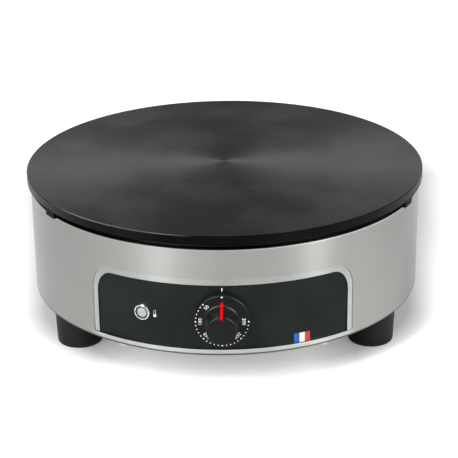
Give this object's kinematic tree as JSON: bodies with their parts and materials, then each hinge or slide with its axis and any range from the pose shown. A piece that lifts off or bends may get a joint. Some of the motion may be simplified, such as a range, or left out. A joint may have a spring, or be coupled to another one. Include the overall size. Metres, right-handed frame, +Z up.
{
  "type": "electric crepe maker",
  "caption": "Round electric griddle on a brushed steel drum with rubber feet, a curved black control panel, a pilot lamp and a thermostat knob.",
  "frame": {"origin": "on the floor under the middle of the griddle", "axes": "+Z up out of the griddle; the control panel faces -Y, +X is to its right seen from the front"},
  "size_m": [0.4, 0.4481, 0.159],
  "materials": {
    "cast_plate": "machined and seasoned, concentric turning marks",
    "brushed_drum": "brushed round the drum",
    "base_steel": "plain rolled sheet",
    "foot_rubber": "satin moulded rubber",
    "panel_black": "satin black",
    "knob_black": "satin moulded",
    "pointer_red": "satin moulded",
    "lamp_chrome": "polished",
    "lamp_clear": "clear, faceted",
    "black_plastic": "moulded",
    "seal_rubber": "matt",
    "screw_steel": "bright zinc",
    "element_steel": "heat-darkened sheath",
    "fibre_white": "ceramic fibre",
    "sensor_copper": "drawn copper",
    "shaft_brass": "turned",
    "ceramic_block": "glazed ceramic",
    "lead_insulation": "heat-proof sleeve"
  },
  "bodies": {
    "housing": {"griddle_plate": "cast_plate", "body_shell": "brushed_drum", "base_plate": "base_steel", "heat_shield": "base_steel", "thermostat_bracket": "base_steel", "foot_front_left": "foot_rubber", "foot_front_right": "foot_rubber", "foot_rear": "foot_rubber", "control_panel": "panel_black", "lamp_bezel": "lamp_chrome", "lamp_lens": "lamp_clear", "lamp_body": "black_plastic", "lamp_nut": "black_plastic", "cable_gland": "black_plastic", "gland_dome": "black_plastic", "gland_locknut": "black_plastic", "thermostat_body": "black_plastic", "gland_seal": "seal_rubber", "base_screws": "screw_steel", "bracket_screws": "screw_steel", "thermostat_screws": "screw_steel", "clamp_screws": "screw_steel", "bulb_screw": "screw_steel", "foot_bolts": "screw_steel", "foot_nuts": "screw_steel", "tie_rods": "screw_steel", "tie_rod_nuts": "screw_steel", "tie_rod_washers": "screw_steel", "panel_studs": "screw_steel", "panel_nuts": "screw_steel", "terminal_screws": "screw_steel", "earth_stud": "screw_steel", "heating_element": "element_steel", "element_clamps": "element_steel", "bulb_clamp": "element_steel", "insulation_blanket": "fibre_white", "sensor_bulb": "sensor_copper", "sensor_capillary": "sensor_copper", "terminal_block": "ceramic_block", "wiring": "lead_insulation"},
    "knob": {"knob": "knob_black", "knob_pointer": "pointer_red", "thermostat_shaft": "shaft_brass"}
  },
  "joints": [
    {"name": "knob_turn", "type": "hinge", "parent": "housing", "child": "knob", "pos_m": [0, -0.1962, 0.0753], "axis": [0, 1, 0], "range_deg": [0, 270]}
  ]
}
